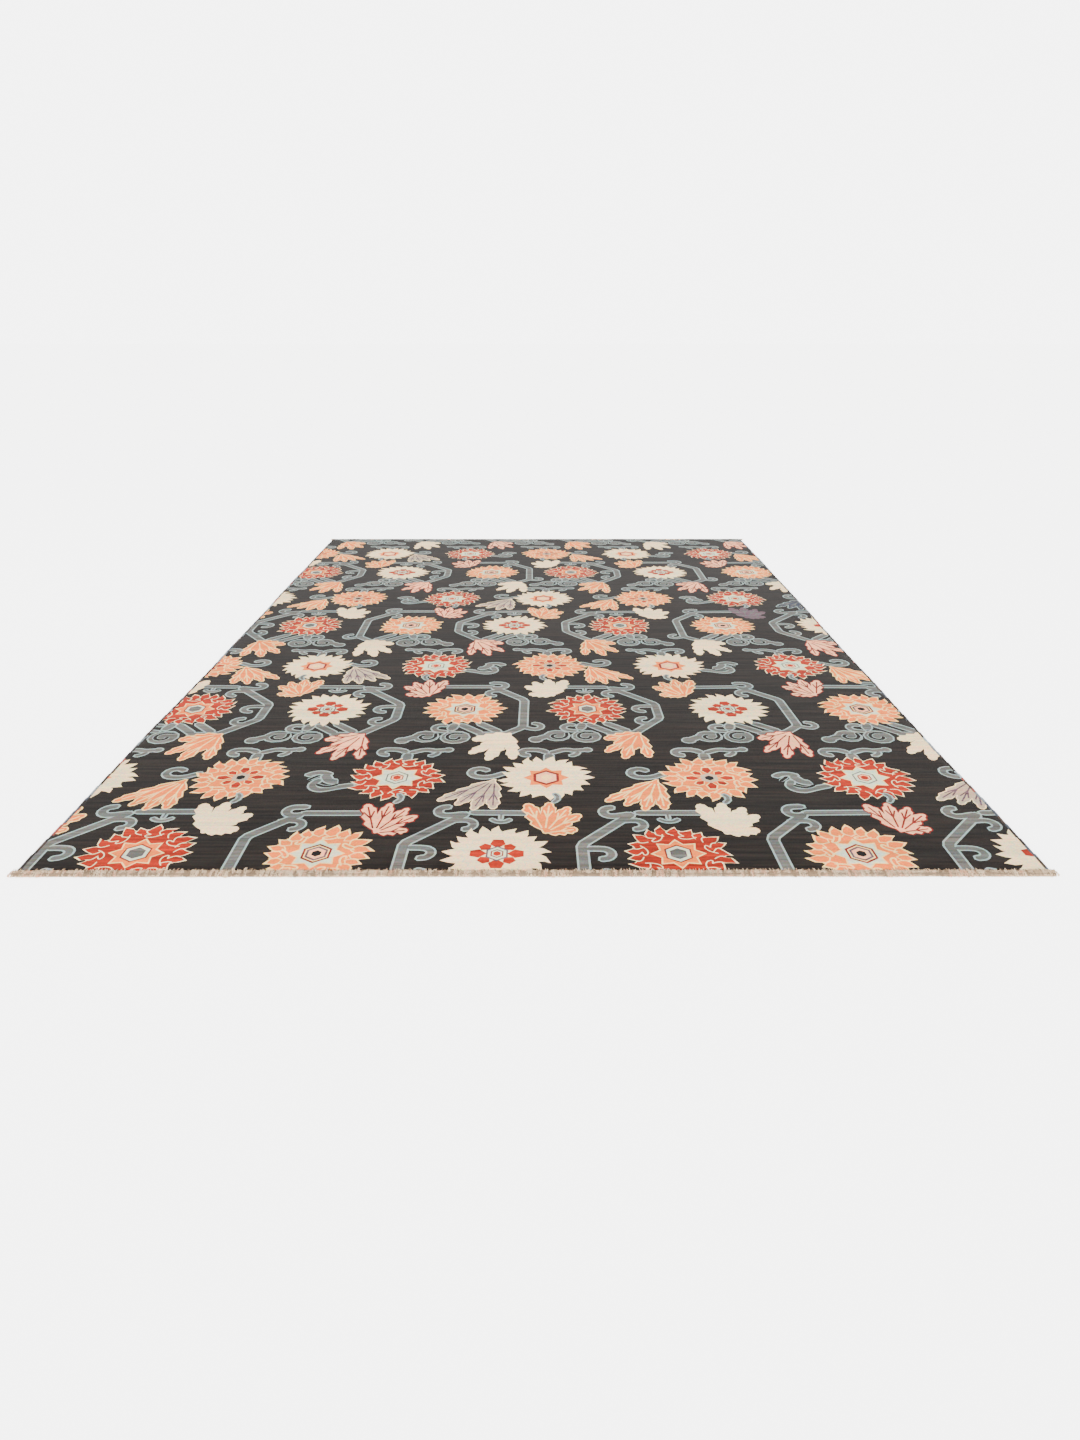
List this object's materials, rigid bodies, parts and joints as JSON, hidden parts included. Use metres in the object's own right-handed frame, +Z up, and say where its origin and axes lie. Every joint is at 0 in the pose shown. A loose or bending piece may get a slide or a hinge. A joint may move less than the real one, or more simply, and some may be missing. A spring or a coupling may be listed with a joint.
{
  "type": "kazak rug",
  "caption": "Flat hand-knotted wool rug with an all-over floral pile field, overcast side cords and short cut warp fringe at both ends.",
  "frame": {"origin": "centre of the underside, on the floor", "axes": "+Z up out of the pile, +Y along the rug's length away from the end nearest the picture's viewpoint, +X across its width"},
  "size_m": [2.531, 3.8024, 0.009],
  "materials": {
    "wool_pile": "clipped hand-knotted wool pile, charcoal ground with red, peach, cream and grey-blue motifs",
    "overcast_wool": "dark wool yarn wound round the side cords",
    "warp_wool": "undyed beige wool warp ends, knotted and cut short"
  },
  "bodies": {
    "root": {"rug_field": "wool_pile", "selvedge_left": "overcast_wool", "selvedge_right": "overcast_wool", "fringe_near": "warp_wool", "fringe_far": "warp_wool"}
  },
  "joints": []
}
